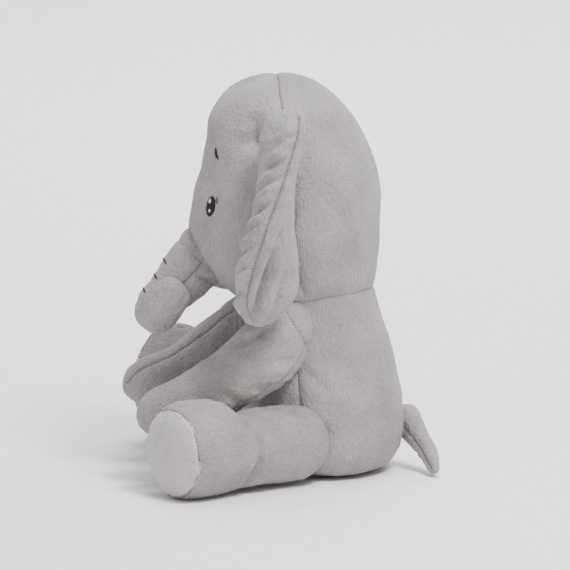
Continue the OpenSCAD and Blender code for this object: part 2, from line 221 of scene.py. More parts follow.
class Nodes:
    """Adds shader nodes to one material and wires them up."""

    def __init__(self, name: str) -> None:
        """Makes the material with a Principled shader.

        Args:
            name: The material's name.
        """
        self.material = bpy.data.materials.new(name)
        self.material.use_nodes = True
        self.tree = self.material.node_tree
        self.shader = self.tree.nodes["Principled BSDF"]

    def add(self, kind: str, inputs: dict | None = None, **settings: object) -> bpy.types.Node:
        """Adds one node.

        Args:
            kind: The node's type.
            inputs: Values or output sockets, by the input's name.
            settings: The node's own properties.

        Returns:
            The new node.
        """
        node = self.tree.nodes.new(kind)
        for key, value in settings.items():
            setattr(node, key, value)
        for key, value in (inputs or {}).items():
            if isinstance(value, Socket):
                self.tree.links.new(value, node.inputs[key])
            else:
                node.inputs[key].default_value = value
        return node

    def place(self) -> Socket:
        """Object coordinates in metres.

        Returns:
            The vector socket.
        """
        return self.add("ShaderNodeTexCoord").outputs["Object"]

    def along_nap(self, scale: Triple) -> Socket:
        """The piece's own nap coordinates, in metres round and along it, stretched by a scale.

        Args:
            scale: The stretch along each axis.

        Returns:
            The vector socket.
        """
        nap = self.add("ShaderNodeUVMap", uv_map="nap").outputs["UV"]
        return self.add("ShaderNodeMapping", {"Vector": nap, "Scale": scale}).outputs["Vector"]

    def noise(self, vector: Socket, scale: float, detail: float = 2.0) -> Socket:
        """A noise value.

        Args:
            vector: The coordinates to read.
            scale: Features to a metre.
            detail: Octaves of finer noise.

        Returns:
            The value socket.
        """
        inputs = {"Vector": vector, "Scale": scale, "Detail": detail}
        return self.add("ShaderNodeTexNoise", inputs).outputs["Fac"]

    def ramp(self, value: Socket, low: Triple, high: Triple, ends: Pair) -> Socket:
        """A colour that goes from low to high as a value rises.

        Args:
            value: The value socket.
            low: The first colour.
            high: The last colour.
            ends: The values where the change starts and stops.

        Returns:
            The colour socket.
        """
        node = self.add("ShaderNodeValToRGB", {"Fac": value})
        node.color_ramp.elements[0].position, node.color_ramp.elements[1].position = ends
        node.color_ramp.elements[0].color = (*low, 1)
        node.color_ramp.elements[1].color = (*high, 1)
        return node.outputs["Color"]

    def mix(self, fac: Socket | float, a: Socket, b: Socket, how: str = "MIX") -> Socket:
        """Two colours mixed.

        Args:
            fac: The share of the second colour.
            a: The first colour.
            b: The second colour.
            how: The blend type.

        Returns:
            The colour socket.
        """
        node = self.add("ShaderNodeMix", data_type="RGBA", blend_type=how, clamp_result=True)
        for index, value in ((0, fac), (6, a), (7, b)):
            if isinstance(value, Socket):
                self.tree.links.new(value, node.inputs[index])
            else:
                node.inputs[index].default_value = value
        return node.outputs[2]

    def bump(
        self, height: Socket, distance: float, strength: float, before: Socket | None = None
    ) -> Socket:
        """A bumped normal.

        Args:
            height: The height socket.
            distance: The height of the bump in metres.
            strength: The bump's strength.
            before: A normal that is bumped already.

        Returns:
            The normal socket.
        """
        inputs = {"Height": height, "Distance": distance, "Strength": strength}
        if before is not None:
            inputs["Normal"] = before
        return self.add("ShaderNodeBump", inputs).outputs["Normal"]

    def set(self, **values: object) -> None:
        """Sets the shader's own sockets.

        Args:
            values: Values or sockets, by the socket's name with _ for each space.
        """
        for key, value in values.items():
            socket = self.shader.inputs[key.replace("_", " ")]
            if isinstance(value, Socket):
                self.tree.links.new(value, socket)
            else:
                socket.default_value = value


@dataclass(frozen=True)
class PlushFinish:
    """Short brushed pile, with the sheen of its nap painted into the colour as lighter and darker patches and
    streaks.
    """

    name: str
    tone: Triple
    shade: float = 0.55
    bright: float = 1.30
    pile_per_m: float = 560.0
    sheen_patches_per_m: float = 26.0
    streaks_per_m: Pair = (620.0, 150.0)
    sheen: float = 0.16

    def build(self) -> bpy.types.Material:
        """Makes the material.

        Returns:
            The plush material.
        """
        nodes = Nodes(self.name)
        # The dark and the light ends of the painted sheen and of the fine random grain.
        dark = tuple(c * self.shade for c in self.tone)
        light = tuple(min(1.0, c * self.bright) for c in self.tone)
        patches = nodes.noise(nodes.place(), self.sheen_patches_per_m, 3.0)
        streaks = nodes.noise(nodes.along_nap((*self.streaks_per_m, 1.0)), 1.0, 2.0)
        grain = nodes.noise(nodes.place(), self.pile_per_m * 1.7, 1.5)
        tufts = nodes.noise(nodes.place(), self.pile_per_m * 0.5, 2.0)
        # Painted sheen: the broad patches and the streaks along the nap make the colour lighter and darker,
        # as if the nap caught the light; the fine spots are the pile's own random tone.
        wide = nodes.ramp(patches, dark, light, (0.30, 0.62))
        fine = nodes.ramp(streaks, dark, light, (0.30, 0.66))
        spots = nodes.ramp(grain, dark, light, (0.25, 0.70))
        colour = nodes.mix(0.45, nodes.mix(0.45, wide, fine), spots)
        normal = nodes.bump(tufts, 2.2 * MM, 0.7)
        normal = nodes.bump(grain, 1.0 * MM, 0.7, normal)
        normal = nodes.bump(streaks, 1.4 * MM, 0.6, normal)
        nodes.set(Base_Color=colour, Normal=normal, Roughness=0.95, Specular_IOR_Level=0.15)
        nodes.set(Sheen_Weight=self.sheen, Sheen_Roughness=0.45, Sheen_Tint=(1.0, 0.98, 0.97, 1.0))
        return nodes.material


@dataclass(frozen=True)
class ThreadFinish:
    """Embroidery thread, with its strands side by side."""

    name: str
    tone: Triple
    lift: float = 1.25
    strands_per_m: float = 2400.0
    roughness: float = 0.5

    def build(self) -> bpy.types.Material:
        """Makes the material.

        Returns:
            The thread material.
        """
        nodes = Nodes(self.name)
        strands = nodes.add(
            "ShaderNodeTexWave",
            {"Vector": nodes.place(), "Scale": self.strands_per_m / 2, "Distortion": 2.0, "Detail": 1.0},
            bands_direction="Z",
        ).outputs["Fac"]
        light = tuple(min(1.0, c * self.lift + 0.004) for c in self.tone)
        colour = nodes.ramp(strands, self.tone, light, (0.2, 0.9))
        rough = nodes.add("ShaderNodeMath", {0: strands, 1: 0.2}, operation="MULTIPLY").outputs["Value"]
        rough = nodes.add("ShaderNodeMath", {0: rough, 1: self.roughness}, operation="ADD").outputs["Value"]
        nodes.set(Base_Color=colour, Roughness=rough, Normal=nodes.bump(strands, 0.25 * MM, 0.6))
        nodes.set(Specular_IOR_Level=0.25)
        return nodes.material


PLUSH = PlushFinish("grey_plush", (0.318, 0.290, 0.289))
SOLE_PLUSH = PlushFinish("sole_plush", (0.470, 0.424, 0.444), shade=0.84, sheen=0.25)
SEAM_THREAD = ThreadFinish("seam_thread", (0.085, 0.074, 0.072), roughness=0.8)
DARK_THREAD = ThreadFinish("dark_thread", (0.012, 0.008, 0.008), lift=1.5, roughness=0.6)
PALE_THREAD = ThreadFinish("pale_thread", (0.86, 0.84, 0.87), lift=1.05)


@cache
def built(finish: PlushFinish | ThreadFinish) -> bpy.types.Material:
    """The material of a finish, built once.

    Args:
        finish: The finish.

    Returns:
        Its material.
    """
    return finish.build()


def dress(obj: Piece, finish: PlushFinish | ThreadFinish) -> None:
    """Gives a piece its finish.

    Args:
        obj: The piece.
        finish: The finish to wear.
    """
    obj.data.materials.clear()
    obj.data.materials.append(built(finish))


# ---- Relief on a stuffed skin ------------------------------------------------------------------------


@dataclass
class Spot:
    """Where each point of a skin lies: on its axis, round it and in space."""

    at: np.ndarray
    angle: np.ndarray
    radius: np.ndarray
    world: np.ndarray

    def across(self, angle: float) -> np.ndarray:
        """Distance round the skin from a line at one angle.

        Args:
            angle: The line's angle in degrees.

        Returns:
            Signed distances in metres.
        """
        turn = (self.angle - angle + 180) % 360 - 180
        return np.radians(turn) * self.radius


def bell(distance: np.ndarray, width: float) -> np.ndarray:
    """A smooth bump of height 1 at no distance.

    Args:
        distance: Distances in metres.
        width: The bump's half width.

    Returns:
        The heights.
    """
    return np.exp(-((distance / width) ** 2))


def within(value: np.ndarray, low: float, high: float, fade: float) -> np.ndarray:
    """1 between two limits, fading to 0 outside them.

    Args:
        value: The values to test.
        low: The lower limit.
        high: The upper limit.
        fade: The distance over which it fades.

    Returns:
        The shares.
    """
    rise = np.clip((value - low) / fade + 0.5, 0, 1)
    fall = np.clip((high - value) / fade + 0.5, 0, 1)
    return rise * fall * rise * fall


class Relief:
    """Something that raises or sinks the cloth of a skin."""

    def height(self, spot: Spot) -> np.ndarray:
        """How far each point moves outwards.

        Args:
            spot: The skin's points.

        Returns:
            Heights in metres.
        """
        raise NotImplementedError


@dataclass(frozen=True)
class LongSeam(Relief):
    """A sewn seam that runs along a unit at one angle, with the gathers that it pulls into the cloth."""

    angle: float
    low: float
    high: float
    depth: float = 1.8 * MM
    width: float = 1.4 * MM
    gather: float = 0.8 * MM
    pitch: float = 9 * MM
    reach: float = 13 * MM
    seed: int = 3

    def height(self, spot: Spot) -> np.ndarray:
        """How far the seam moves each point outwards."""
        across = spot.across(self.angle)
        near = within(spot.at, self.low, self.high, 6 * MM)
        line = np.stack([spot.at, 0.25 * across, 0 * across], axis=-1)
        pucker = soft_noise(line, self.pitch, self.seed) * bell(across, self.reach)
        pucker = pucker * (1 - bell(across, 2 * self.width))
        dip = -self.depth * bell(across, self.width) - 0.8 * self.depth * bell(across, 4 * self.width)
        return near * (dip + self.gather * pucker)


@dataclass(frozen=True)
class RoundSeam(Relief):
    """A sewn seam that runs round a unit at one place on its axis."""

    at: float
    depth: float = 1.8 * MM
    width: float = 1.5 * MM
    gather: float = 0.8 * MM
    pitch: float = 8 * MM
    reach: float = 12 * MM
    seed: int = 5

    def height(self, spot: Spot) -> np.ndarray:
        """How far the seam moves each point outwards."""
        away = spot.at - self.at
        turned = np.radians(spot.angle)
        line = np.stack([spot.radius * np.cos(turned), spot.radius * np.sin(turned), 0.2 * away], axis=-1)
        pucker = soft_noise(line, self.pitch, self.seed) * bell(away, self.reach)
        dip = -self.depth * bell(away, self.width) - 0.6 * self.depth * bell(away, 3.5 * self.width)
        return dip + self.gather * pucker


@dataclass(frozen=True)
class Fold(Relief):
    """A soft crease between two places on a skin, each given by axis distance and angle."""

    start: Pair
    end: Pair
    depth: float = 2.0 * MM
    width: float = 3.0 * MM
    bow: float = 0.0

    def pair(self) -> list["Fold"]:
        """This fold and its mirror image on the other side of an upright unit.

        Returns:
            The two folds.
        """
        start, end = ((at, 180 - angle) for at, angle in (self.start, self.end))
        return [self, replace(self, start=start, end=end, bow=-self.bow)]

    def height(self, spot: Spot) -> np.ndarray:
        """How far the fold moves each point outwards."""
        x = spot.at - self.start[0]
        y = spot.across(self.start[1])
        radius = float(np.median(spot.radius))
        run = Vector((self.end[0] - self.start[0], math.radians(self.end[1] - self.start[1]) * radius))
        share = np.clip((x * run.x + y * run.y) / run.length_squared, 0, 1)
        bend = self.bow * 4 * share * (1 - share)
        side = Vector((-run.y, run.x)).normalized()
        away = np.hypot(x - share * run.x - bend * side.x, y - share * run.y - bend * side.y)
        strength = np.clip(4.5 * share * (1 - share) + 0.1, 0, 1)
        ridge = 0.35 * (bell(away - 2.2 * self.width, self.width))
        return self.depth * strength * (ridge - bell(away, self.width))


@dataclass(frozen=True)
class Dent(Relief):
    """A broad hollow, or a swelling where its depth is negative, round a point in space."""

    centre: Triple
    size: float
    depth: float

    def height(self, spot: Spot) -> np.ndarray:
        """How far the dent moves each point outwards."""
        away = np.linalg.norm(spot.world - np.array(self.centre), axis=-1)
        return -self.depth * bell(away, self.size)


@dataclass(frozen=True)
class Stuffing(Relief):
    """The unevenness of hand-filled fibre, broad lumps with smaller ones on them."""

    size: float = 42 * MM
    lump: float = 1.9 * MM
    seed: int = 11

    def height(self, spot: Spot) -> np.ndarray:
        """How far the filling moves each point outwards."""
        broad = soft_noise(spot.world, self.size, self.seed)
        small = soft_noise(spot.world, self.size / 3, self.seed + 1)
        return self.lump * (broad + 0.32 * small)


@dataclass(frozen=True)
class Pile(Relief):
    """The fine brushed surface of the cloth itself."""

    tuft: float = 2.8 * MM
    high: float = 0.42 * MM
    seed: int = 23

    def height(self, spot: Spot) -> np.ndarray:
        """How far the pile moves each point outwards."""
        coarse = soft_noise(spot.world, self.tuft, self.seed)
        fine = soft_noise(spot.world, self.tuft * 0.5, self.seed + 1)
        return self.high * (0.6 * coarse + 0.7 * fine)


@dataclass(frozen=True)
class Wrinkles(Relief):
    """Shallow folds that run one way over part of a skin."""

    low: float
    high: float
    angle: float
    spread: float
    along: float = 50 * MM
    apart: float = 9 * MM
    depth: float = 1.2 * MM
    seed: int = 31

    def height(self, spot: Spot) -> np.ndarray:
        """How far the wrinkles move each point outwards."""
        across = spot.across(self.angle)
        place = np.stack([spot.at / self.along, across / self.apart, 0 * across], axis=-1)
        share = within(spot.at, self.low, self.high, 0.4 * (self.high - self.low)) * bell(across, self.spread)
        return self.depth * share * soft_noise(place, 1.0, self.seed)


# ---- Stuffed skins -----------------------------------------------------------------------------------


@dataclass
class Skin:
    """A closed stuffed skin, lofted through oval sections along its own Z and placed on the toy.

    A section is [distance along the axis, shift x, shift y, half width, half height]; the first and the
    last one close to a point.
    """

    name: str
    body: str
    nodes: list[str]
    sections: list[list[float]]
    place: Matrix
    relief: list[Relief] = field(default_factory=list)
    finish: PlushFinish = PLUSH
    slot: str = "plush"
    cells_round: int = 300
    cells_along: int = 180
    fill: float = 0.8
    grid: np.ndarray = field(default=None, repr=False)
    normals: np.ndarray = field(default=None, repr=False)
    at: np.ndarray = field(default=None, repr=False)

    def oval(self, at: np.ndarray) -> np.ndarray:
        """The section at each place on the axis.

        Args:
            at: Distances along the axis.

        Returns:
            Rows of shift x, shift y, half width and half height.
        """
        rows = np.array(self.sections, float)
        squared = rows.copy()
        squared[:, 3:] = rows[:, 3:] ** 2
        found = smooth_rows(squared, at)
        found[:, 2:] = np.sqrt(np.maximum(found[:, 2:], 0))
        return found

    def stations(self) -> np.ndarray:
        """Places on the axis, evenly spaced over the surface, without the two poles."""
        low, high = self.sections[0][0], self.sections[-1][0]
        at = low + (high - low) * (1 - np.cos(np.linspace(0, np.pi, 3000))) / 2
        half = self.oval(at)[:, 2:].mean(axis=1)
        length = np.concatenate([[0], np.cumsum(np.hypot(np.diff(at), np.diff(half)))])
        wanted = np.linspace(0, length[-1], self.cells_along + 2)[1:-1]
        return np.interp(wanted, length, at)

    def surface(self, at: np.ndarray, angle: np.ndarray) -> np.ndarray:
        """The smooth surface before any relief, in the unit's own axes.

        Args:
            at: Distances along the axis, one for each ring.
            angle: Angles round it in degrees, one for each column.

        Returns:
            A grid of points, rings by columns.
        """
        rows = self.oval(at)[:, None, :]
        turn = np.radians(angle)[None, :]
        x = rows[..., 0] + rows[..., 2] * np.cos(turn)
        y = rows[..., 1] + rows[..., 3] * np.sin(turn)
        return np.stack([x, y, np.broadcast_to(at[:, None], x.shape)], axis=-1)

    def poles(self) -> tuple[np.ndarray, np.ndarray]:
        """The closing points at the first and the last section."""
        first, last = self.sections[0], self.sections[-1]
        return np.array([first[1], first[2], first[0]]), np.array([last[1], last[2], last[0]])

    @staticmethod
    def outward(grid: np.ndarray) -> np.ndarray:
        """Unit normals of a grid of rings.

        Args:
            grid: Points, rings by columns.

        Returns:
            The normals.
        """
        round_it = np.roll(grid, -1, axis=1) - np.roll(grid, 1, axis=1)
        along = np.gradient(grid, axis=0)
        normal = np.cross(round_it, along)
        return normal / np.maximum(np.linalg.norm(normal, axis=-1, keepdims=True), TINY)

    def shape(self) -> None:
        """Works out the grid of the finished surface, in place on the toy."""
        angle = np.arange(self.cells_round) * 360 / self.cells_round
        self.at = self.stations()
        plain = moved(self.surface(self.at, angle), self.place)
        normals = self.outward(plain)
        if self.place.determinant() < 0:
            normals = -normals
        radius = self.oval(self.at)[:, 2:].mean(axis=1)
        spot = Spot(
            at=np.broadcast_to(self.at[:, None], plain.shape[:2]),
            angle=np.broadcast_to(angle[None, :], plain.shape[:2]),
            radius=np.broadcast_to(radius[:, None], plain.shape[:2]),
            world=plain,
        )
        height = sum(one.height(spot) for one in self.relief)
        self.grid = plain + normals * height[..., None]
        self.normals = normals

    def build(self) -> Piece:
        """Makes the skin, dresses it, hangs it on its body and hides the CAD nodes that it stands for.

        Returns:
            The finished piece.
        """
        self.shape()
        rings, columns = self.grid.shape[:2]
        first, last = (moved(p, self.place) for p in self.poles())
        points = np.concatenate([self.grid.reshape(-1, 3), [first], [last]])
        index = np.arange(rings * columns).reshape(rings, columns)
        right = np.roll(index, -1, axis=1)
        quads = np.stack([index[:-1], right[:-1], right[1:], index[1:]], axis=-1).reshape(-1, 4)
        bottom, top = rings * columns, rings * columns + 1
        faces = [tuple(f) for f in quads.tolist()]
        faces += [(bottom, int(b), int(a)) for a, b in zip(index[0], right[0], strict=True)]
        faces += [(top, int(a), int(b)) for a, b in zip(index[-1], right[-1], strict=True)]
        if self.place.determinant() < 0:
            faces = [f[::-1] for f in faces]
        obj = link_mesh(self.name, points, faces)
        self.lay_nap(obj, rings, columns)
        dress(obj, self.finish)
        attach(obj, self.body)
        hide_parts(*self.nodes)
        LOG.info("%s: %d faces on %s", self.name, len(faces), self.body)
        return obj

    def lay_nap(self, obj: Piece, rings: int, columns: int) -> None:
        """Writes the nap coordinates, in metres round and along the unit.

        Args:
            obj: The skin's object.
            rings: The number of rings.
            columns: The number of points to a ring.
        """
        loops = np.zeros(len(obj.data.loops), np.int64)
        obj.data.loops.foreach_get("vertex_index", loops)
        radius = float(np.median(self.oval(self.at)[:, 2:]))
        column = loops % columns
        ring = np.clip(loops // columns, 0, rings - 1)
        u = column * (2 * math.pi * radius / columns)
        v = self.at[ring]
        layer = obj.data.uv_layers.new(name="nap")
        layer.data.foreach_set("uv", np.stack([u, v], axis=1).ravel())

    def seam_path(self, angle: float, low: float, high: float) -> Path:
        """Points and normals along the skin at one angle.

        Args:
            angle: The angle in degrees.
            low: Where on the axis the path starts.
            high: Where it stops.

        Returns:
            The points and the normals.
        """
        column = round(angle % 360 * self.cells_round / 360) % self.cells_round
        keep = (self.at >= low) & (self.at <= high)
        return self.grid[keep, column], self.normals[keep, column]

    def ring_path(self, at: float) -> Path:
        """Points and normals round the skin at one place on its axis.

        Args:
            at: The place on the axis.

        Returns:
            The points and the normals, closed.
        """
        ring = int(np.argmin(abs(self.at - at)))
        closed = [*range(self.cells_round), 0]
        return self.grid[ring, closed], self.normals[ring, closed]


def sew(name: str, body: str, paths: list[Path]) -> Piece:
    """Makes the visible stitches of a unit's seams, as copies of one small bead of thread.

    Args:
        name: The piece's name.
        body: The body that it rides on.
        paths: The points and normals of each seam.

    Returns:
        The stitches, as one piece.
    """
    bpy.ops.object.select_all(action="DESELECT")
    bpy.ops.mesh.primitive_ico_sphere_add(subdivisions=1, radius=1.0)
    bead = bpy.context.object
    shape = np.array([v.co for v in bead.data.vertices]) * STITCH
    shape_faces = [tuple(p.vertices) for p in bead.data.polygons]
    bpy.data.objects.remove(bead)
    points, faces = [], []
    for line, normal in paths:
        length = np.concatenate([[0], np.cumsum(np.linalg.norm(np.diff(line, axis=0), axis=1))])
        for s in np.arange(STITCH_PITCH / 2, length[-1], STITCH_PITCH):
            centre, ahead, behind = (
                np.array([np.interp(s + step, length, line[:, k]) for k in range(3)])
                for step in (0, 0.5 * MM, -0.5 * MM)
            )
            up = np.array([np.interp(s, length, normal[:, k]) for k in range(3)])
            run = (ahead - behind) / max(np.linalg.norm(ahead - behind), TINY)
            across = np.cross(up, run)
            across /= max(np.linalg.norm(across), TINY)
            turn = np.stack([run, across, np.cross(run, across)], axis=1)
            start = len(points) * len(shape)
            points.append(shape @ turn.T + centre + up * STITCH_RISE)
            faces += [tuple(i + start for i in f) for f in shape_faces]
    obj = link_mesh(name, np.concatenate(points), faces)
    dress(obj, SEAM_THREAD)
    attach(obj, body)
    LOG.info("%s: %d stitches on %s", name, len(points), body)
    return obj


# ---- The toy's units ---------------------------------------------------------------------------------


@dataclass
class Torso:
    """The pear-shaped torso with its side seams and the flat seat."""

    height: float = 0.190
    half_width: float = 0.088
    half_depth: float = 0.080
    seam_turn: float = 22.0

    def build(self) -> None:
        """Makes the torso and its stitches."""
        w, d = self.half_width, self.half_depth
        sections = [
            [0.0002, 0, 0, 0, 0],
            [0.0008, 0, 0, 0.52 * w, 0.50 * d],
            [0.004, 0, 0, 0.76 * w, 0.74 * d],
            [0.012, 0, 0, 0.90 * w, 0.88 * d],
            [0.026, 0, 0, 0.97 * w, 0.97 * d],
            [0.045, 0, 0, w, d],
            [0.070, 0, -0.0005, 0.985 * w, 0.99 * d],
            [0.100, 0, -0.003, 0.94 * w, 0.955 * d],
            [0.132, 0, -0.007, 0.86 * w, 0.91 * d],
            [0.160, 0, -0.010, 0.80 * w, 0.84 * d],
            [0.185, 0, -0.014, 0.76 * w, 0.815 * d],
            [0.205, 0, -0.018, 0.66 * w, 0.72 * d],
            [0.222, 0, -0.020, 0, 0],
        ]
        left, right = -self.seam_turn, 180 + self.seam_turn
        seams = [LongSeam(left, 0.02, 0.2, seed=3), LongSeam(right, 0.02, 0.2, seed=4)]
        folds = [
            *Fold((0.118, -20), (0.088, 8), depth=1.4 * MM, width=5 * MM).pair(),
            *Fold((0.060, -18), (0.048, 20), depth=1.5 * MM, width=6 * MM, bow=4 * MM).pair(),
            *Fold((0.176, 20), (0.170, 70), depth=1.3 * MM, width=5 * MM).pair(),
        ]
        skin = Skin(
            "torso_skin",
            "torso",
            ["belly_panel", "back_panel", "seat_panel", "torso_stuffing", "pellet_bag"],
            sections,
            Matrix.Identity(4),
            [*seams, *folds, RoundSeam(0.187, gather=0.7 * MM, reach=14 * MM), Stuffing(), Pile()],
            cells_round=400,
            cells_along=230,
            fill=0.85,
        )
        skin.build()
        paths = [skin.seam_path(angle, 0.03, 0.19) for angle in (left, right)]
        sew("torso_stitches", "torso", paths)


@dataclass
class Head:
    """The egg-shaped head with its ear-to-ear seam and the embroidered face."""

    half_width: float = 0.096
    eye_turn: float = 32.0
    eye_high: float = 0.2765
    eye_size: Pair = (0.0148, 0.0212)
    brow_turn: float = 27.0
    brow_high: float = 0.3275
    brow_size: Pair = (0.0046, 0.0140)
    brow_lean: float = 35.0
    lash_size: Pair = (0.0011, 0.0060)
    sunk: float = 0.4 * MM
    tuck: float = 0.2 * MM
    rim: float = 0.98
    tree: BVHTree = field(default=None, repr=False)
    skin: Skin = field(default=None, repr=False)

    def build(self) -> None:
        """Makes the head, its stitches and its face."""
        w = self.half_width
        sections = [
            [0.152, 0, -0.020, 0, 0],
            [0.158, 0, -0.020, 0.34 * w, 0.34 * w],
            [0.170, 0, -0.021, 0.56 * w, 0.56 * w],
            [0.185, 0, -0.023, 0.72 * w, 0.755 * w],
            [0.200, 0, -0.029, 0.845 * w, 0.86 * w],
            [0.222, 0, -0.035, 0.94 * w, 0.945 * w],
            [0.250, 0, -0.038, 0.995 * w, 0.995 * w],
            [0.277, 0, -0.036, w, 0.985 * w],
            [0.306, 0, -0.0345, 0.965 * w, 0.915 * w],
            [0.332, 0, -0.037, 0.895 * w, 0.83 * w],
            [0.356, 0, -0.042, 0.775 * w, 0.745 * w],
            [0.376, 0, -0.0455, 0.615 * w, 0.605 * w],
            [0.391, 0, -0.047, 0.42 * w, 0.42 * w],
            [0.4005, 0, -0.046, 0, 0],
        ]
        seams = [LongSeam(180 * k, 0.19, 0.41, seed=6 + k, gather=0.5 * MM) for k in (0, 1)]
        dents = [Dent((s * 0.072, -0.074, 0.348), 0.020, 7.5 * MM) for s in (1, -1)]
        dents += [Dent((s * 0.050, -0.118, 0.235), 0.030, -1.6 * MM) for s in (1, -1)]
        dents += [Dent((s * 0.046, -0.121, 0.300), 0.020, 0.9 * MM) for s in (1, -1)]
        dents.append(Dent((0, -0.130, 0.262), 0.022, 1.2 * MM))
        dents += [Dent((s * 0.100, -0.020, 0.200), 0.030, 2.0 * MM) for s in (1, -1)]
        tucks = [
            *Fold((0.374, -26), (0.322, -27), depth=3.6 * MM, width=6 * MM, bow=4 * MM).pair(),
            *Fold((0.352, -20), (0.340, -48), depth=2.4 * MM, width=5 * MM).pair(),
            *Fold((0.208, -14), (0.224, -44), depth=2.0 * MM, width=5 * MM).pair(),
        ]
        self.skin = Skin(
            "head_skin",
            "head",
            ["face_panel", "head_back_panel", "head_stuffing"],
            sections,
            Matrix.Identity(4),
            [*seams, *dents, *tucks, Stuffing(size=55 * MM, lump=1.7 * MM, seed=14), Pile()],
            cells_round=440,
            cells_along=220,
            fill=0.9,
        )
        obj = self.skin.build()
        self.tree = BVHTree.FromObject(obj, bpy.context.evaluated_depsgraph_get())
        sew("head_stitches", "head", [self.skin.seam_path(angle, 0.2, 0.41) for angle in (0, 180)])
        for side in Side:
            self.embroider_eye(side)
            self.embroider_brow(side)

    def on_face(self, turn: float, high: float) -> Matrix:
        """A placement on the face whose Z points out of it and whose Y points up.

        Args:
            turn: The angle from straight ahead, in degrees, positive to the toy's left.
            high: The height above the floor.

        Returns:
            The placement.
        """
        axis = Vector((0, -0.037, high))
        out = Vector((math.sin(math.radians(turn)), -math.cos(math.radians(turn)), 0))
        hit, normal, _, _ = self.tree.ray_cast(axis + out * 0.3, -out)
        soft = (normal + out).normalized()
        right = Vector((0, 0, 1)).cross(soft).normalized()
        up = soft.cross(right)
        return Matrix.Translation(hit) @ Matrix((right, up, soft)).transposed().to_4x4()

    def patch(
        self,
        name: str,
        place: Matrix,
        size: Pair,
        thick: float,
        lean: float = 0.0,
        shift: Pair = (0, 0),
        bow: float = 0.0,
    ) -> Piece:
        """A cushion of satin stitch that lies on the face.

        Args:
            name: The piece's name.
            place: Where its middle lies on the face.
            size: Its width and height.
            thick: How proud it stands in its middle.
            lean: How far it is turned in its own plane, in degrees.
            shift: How far its middle is moved in its own plane.
            bow: How far its ends bend sideways.

        Returns:
            The piece.
        """
        bpy.ops.object.select_all(action="DESELECT")
        bpy.ops.mesh.primitive_uv_sphere_add(segments=48, ring_count=28, radius=1.0)
        obj = bpy.context.object
        obj.name = name
        turn = Matrix.Rotation(math.radians(lean), 3, "Z")
        for vertex in obj.data.vertices:
            x, y, z = vertex.co
            edge = min(1.0, math.hypot(x, y))
            flat = turn @ Vector((x * size[0] / 2 + bow * (y * y - 0.5), y * size[1] / 2, 0))
            flat += Vector((*shift, 0))
            above = place @ Vector((flat.x, flat.y, 20 * MM))
            hit, _, _, _ = self.tree.ray_cast(above, -(place.to_3x3() @ Vector((0, 0, 1))))
            rise = thick * (1 - edge**3) if z > 0 else -self.sunk
            if edge > self.rim:
                rise -= self.tuck
            vertex.co = hit + place.to_3x3() @ Vector((0, 0, rise))
        for polygon in obj.data.polygons:
            polygon.use_smooth = True
        return obj

    def embroider_eye(self, side: Side) -> None:
        """Makes one eye with its two glints and its lashes.

        Args:
            side: The side of the face.
        """
        place = self.on_face(side.value * self.eye_turn, self.eye_high)
        w, h = self.eye_size
        eye = self.patch(f"embroidered_eye_{side.letter}", place, (w, h), 1.1 * MM)
        dress(eye, DARK_THREAD)
        self.attach(eye, f"eye_{side.letter}", "dark_thread")
        inner = -side.value
        glints = []
        shares = (("upper", 0.30, 0.26, 0.10, 0.23), ("lower", 0.20, 0.19, -0.04, -0.21))
        for name, wide, tall, x, y in shares:
            size, shift = (wide * w, tall * h), (inner * x * w, y * h)
            glints.append(self.patch(f"glint_{name}_{side.letter}", place, size, 1.9 * MM, shift=shift))
            dress(glints[-1], PALE_THREAD)
        self.join(*glints)
        self.attach(glints[0], f"eye_glints_{side.letter}", "pale_thread")
        lashes = [
            self.patch(
                f"lash_{k}_{side.letter}",
                place,
                self.lash_size,
                0.9 * MM,
                lean=side.value * (62 - 18 * k),
                shift=(side.value * (0.55 + 0.02 * k) * w, (0.26 + 0.13 * k) * h),
            )
            for k in (0, 1)
        ]
        self.join(*lashes)
        dress(lashes[0], DARK_THREAD)
        lashes[0].name = f"lashes_{side.letter}"
        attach(lashes[0], "head")

    def embroider_brow(self, side: Side) -> None:
        """Makes one brow.

        Args:
            side: The side of the face.
        """
        place = self.on_face(side.value * self.brow_turn, self.brow_high)
        name = f"embroidered_brow_{side.letter}"
        lean, bow = side.value * self.brow_lean, side.value * 1.2 * MM
        brow = self.patch(name, place, self.brow_size, 1.2 * MM, lean=lean, bow=bow)
        dress(brow, DARK_THREAD)
        self.attach(brow, f"brow_{side.letter}", "dark_thread")

    @staticmethod
    def join(keep: Piece, *others: Piece) -> None:
        """Joins pieces of thread into the first one.

        Args:
            keep: The piece that stays.
            others: The pieces that are taken into it.
        """
        bpy.ops.object.select_all(action="DESELECT")
        for one in (keep, *others):
            one.select_set(True)
        bpy.context.view_layer.objects.active = keep
        bpy.ops.object.join()

    @staticmethod
    def attach(obj: Piece, node: str, slot: str) -> None:
        """Puts a piece of embroidery on the head in place of its CAD node.

        Args:
            obj: The piece.
            node: The CAD node that it stands for.
            slot: The record's material slot; not used.
        """
        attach(obj, "head")
        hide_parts(node)
        LOG.info("%s for %s", obj.name, node)


